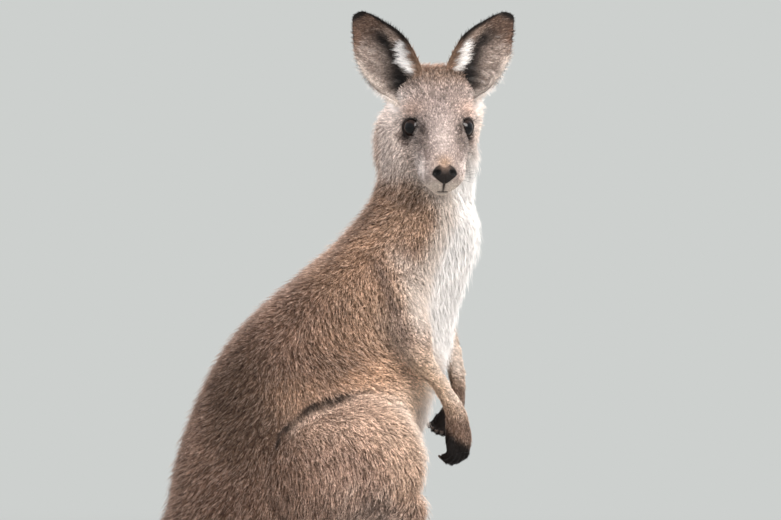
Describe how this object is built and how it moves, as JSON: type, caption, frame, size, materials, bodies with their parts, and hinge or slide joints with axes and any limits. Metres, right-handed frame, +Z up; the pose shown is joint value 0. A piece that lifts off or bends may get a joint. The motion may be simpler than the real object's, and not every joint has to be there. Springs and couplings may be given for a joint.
{
  "type": "eastern grey kangaroo model",
  "caption": "Still model of a young kangaroo standing upright on hind feet and tail, head turned to its right side, ears up, forearms hanging.",
  "frame": {"origin": "middle of the bounding box at floor level", "axes": "+X the way the trunk faces, +Y the animal's left side, +Z up"},
  "size_m": [0.8843, 0.2118, 0.7216],
  "materials": {
    "coat": "short dense fur",
    "pale_coat": "short pale fur",
    "dark_coat": "short dark fur",
    "claw": "horn, satin",
    "eye": "wet gloss",
    "nose": "moist bare skin"
  },
  "bodies": {
    "root": {"abdomen": "coat", "chest": "coat", "ear_left": "pale_coat", "ear_right": "pale_coat", "eye_left": "eye", "eye_right": "eye", "foot_claw_2_left": "claw", "foot_claw_2_right": "claw", "foot_claw_3_left": "claw", "foot_claw_3_right": "claw", "foot_claw_4_left": "claw", "foot_claw_4_right": "claw", "foot_claw_5_left": "claw", "foot_claw_5_right": "claw", "foot_left": "coat", "foot_right": "coat", "forearm_left": "coat", "forearm_right": "coat", "hand_claw_1_left": "claw", "hand_claw_1_right": "claw", "hand_claw_2_left": "claw", "hand_claw_2_right": "claw", "hand_claw_3_left": "claw", "hand_claw_3_right": "claw", "hand_claw_4_left": "claw", "hand_claw_4_right": "claw", "hand_claw_5_left": "claw", "hand_claw_5_right": "claw", "hand_left": "dark_coat", "hand_right": "dark_coat", "head": "pale_coat", "neck": "coat", "nose_pad": "nose", "rump": "coat", "shank_left": "coat", "shank_right": "coat", "tail_base": "coat", "tail_middle": "coat", "tail_tip": "coat", "thigh_left": "coat", "thigh_right": "coat", "toe_4_left": "dark_coat", "toe_4_right": "dark_coat", "toe_5_left": "dark_coat", "toe_5_right": "dark_coat", "toes_2_3_left": "dark_coat", "toes_2_3_right": "dark_coat", "upper_arm_left": "coat", "upper_arm_right": "coat"}
  },
  "joints": []
}
